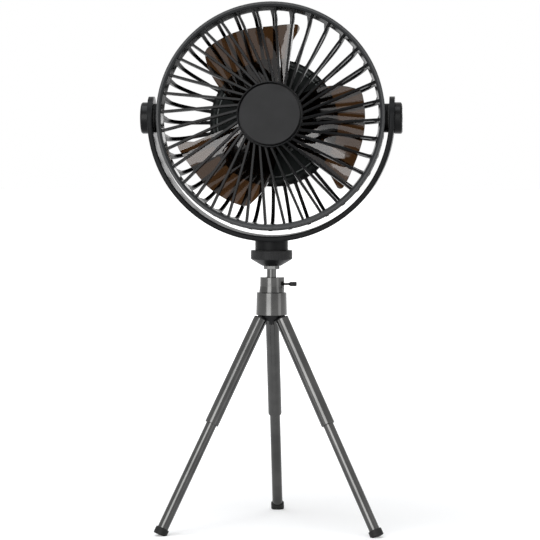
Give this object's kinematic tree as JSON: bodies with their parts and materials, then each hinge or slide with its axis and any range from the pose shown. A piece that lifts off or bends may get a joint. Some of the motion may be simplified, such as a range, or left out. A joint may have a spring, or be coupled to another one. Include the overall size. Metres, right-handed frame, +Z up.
{
  "type": "portable camping fan",
  "caption": "Round caged fan head with smoky blades, tilting in a U bracket on a ball head and a folding telescopic mini tripod.",
  "frame": {"origin": "on the floor under the middle of the bounding box; the tripod's upright axis is 22.1 mm in front of it, at Y = -22.1 mm", "axes": "+Z up, the fan faces -Y, +X is to the right of someone who looks at the fan's front"},
  "size_m": [0.195, 0.1491, 0.3933],
  "materials": {
    "shell": "satin",
    "cap": "fine matt grain",
    "housing": "satin",
    "smoke": "smoky translucent",
    "nickel": "dark polished nickel",
    "hard_black": "fine moulded",
    "foot_rubber": "soft matt",
    "steel": "zinc plated",
    "brass": "turned",
    "copper": "enamelled wire",
    "magnet": "sintered",
    "cell": "shrink wrapped",
    "board": "solder mask",
    "lens": "frosted",
    "chip": "resin",
    "felt": "matt"
  },
  "bodies": {
    "crown": {"crown": "nickel", "hinge_block": "hard_black", "hinge_pins": "steel"},
    "swivel": {"ball_housing": "nickel", "ball_ring": "nickel", "pan_washer": "steel", "pan_screw": "steel"},
    "lock_screw": {"lock_screw": "nickel", "lock_knob": "hard_black"},
    "yoke": {"ball_stem": "nickel", "thread_insert": "brass", "bracket": "shell"},
    "lock_disc": {"lock_disc": "hard_black", "disc_pad": "felt"},
    "head": {"front_grille": "shell", "grille_cap": "cap", "rear_grille": "shell", "grille_screws": "steel", "housing_face": "housing", "motor_base": "hard_black", "motor_screws": "steel", "motor_bearings": "steel", "stator_core": "steel", "stator_windings": "copper", "battery_cells": "cell", "battery_tray": "hard_black", "battery_tabs": "steel", "circuit_board": "board", "tactile_switches": "hard_black", "usb_port": "steel", "rear_cover": "housing", "cover_screws": "steel", "light_board": "board", "light_chips": "chip", "light_diffuser": "lens", "charge_windows": "lens", "pivot_cap_left": "shell", "pivot_cap_right": "shell", "pivot_screws": "steel", "pivot_washers": "felt"},
    "impeller": {"impeller": "smoke", "rotor_can": "steel", "rotor_magnet": "magnet", "motor_shaft": "steel", "impeller_nut": "brass"},
    "power_button": {"power_button": "hard_black"},
    "light_button": {"light_button": "hard_black"},
    "upper_leg_left": {"leg_plug_left": "hard_black", "upper_tube_left": "nickel"},
    "lower_leg_left": {"lower_tube_left": "nickel", "foot_left": "foot_rubber"},
    "upper_leg_right": {"leg_plug_right": "hard_black", "upper_tube_right": "nickel"},
    "lower_leg_right": {"lower_tube_right": "nickel", "foot_right": "foot_rubber"},
    "upper_leg_rear": {"leg_plug_rear": "hard_black", "upper_tube_rear": "nickel"},
    "lower_leg_rear": {"lower_tube_rear": "nickel", "foot_rear": "foot_rubber"}
  },
  "joints": [
    {"name": "swivel_turn", "type": "hinge", "parent": "crown", "child": "swivel", "pos_m": [0, -0.0221, 0.182], "axis": [0, 0, 1], "continuous": true},
    {"name": "lock_screw_turn", "type": "hinge", "parent": "swivel", "child": "lock_screw", "pos_m": [0.012, -0.0221, 0.183], "axis": [1, 0, 0], "range_deg": [0, 360]},
    {"name": "ball_tilt", "type": "hinge", "parent": "swivel", "child": "yoke", "pos_m": [0, -0.0221, 0.182], "axis": [-1, 0, 0], "range_deg": [0, 90]},
    {"name": "lock_disc_turn", "type": "hinge", "parent": "yoke", "child": "lock_disc", "pos_m": [0, -0.0221, 0.203], "axis": [0, 0, 1], "continuous": true},
    {"name": "head_tilt", "type": "hinge", "parent": "yoke", "child": "head", "pos_m": [0, -0.0221, 0.3069], "axis": [1, 0, 0], "range_deg": [-127.5, 142.5]},
    {"name": "impeller_spin", "type": "hinge", "parent": "head", "child": "impeller", "pos_m": [0, -0.0221, 0.3069], "axis": [0, -0.9914, 0.1305], "continuous": true},
    {"name": "power_button_press", "type": "slide", "parent": "head", "child": "power_button", "axis": [0, -0.9914, 0.1305], "range_m": [0, 0.0008], "stiffness_N_per_m": 400, "springref_m": -0.0004},
    {"name": "light_button_press", "type": "slide", "parent": "head", "child": "light_button", "axis": [0, -0.9914, 0.1305], "range_m": [0, 0.0008], "stiffness_N_per_m": 400, "springref_m": -0.0004},
    {"name": "leg_fold_left", "type": "hinge", "parent": "crown", "child": "upper_leg_left", "pos_m": [-0.00535, -0.02531, 0.1627], "axis": [0.515, -0.8572, 0], "range_deg": [0, 28]},
    {"name": "leg_slide_left", "type": "slide", "parent": "upper_leg_left", "child": "lower_leg_left", "axis": [0.4024, 0.2418, 0.8829], "range_m": [0, 0.068]},
    {"name": "leg_fold_right", "type": "hinge", "parent": "crown", "child": "upper_leg_right", "pos_m": [0.00546, -0.02513, 0.1627], "axis": [0.4848, 0.8746, 0], "range_deg": [0, 28]},
    {"name": "leg_slide_right", "type": "slide", "parent": "upper_leg_right", "child": "lower_leg_right", "axis": [-0.4106, 0.2276, 0.8829], "range_m": [0, 0.068]},
    {"name": "leg_fold_rear", "type": "hinge", "parent": "crown", "child": "upper_leg_rear", "pos_m": [-0.00011, -0.01586, 0.1627], "axis": [-0.9998, -0.0175, 0], "range_deg": [0, 28]},
    {"name": "leg_slide_rear", "type": "slide", "parent": "upper_leg_rear", "child": "lower_leg_rear", "axis": [0.0082, -0.4694, 0.8829], "range_m": [0, 0.068]}
  ]
}
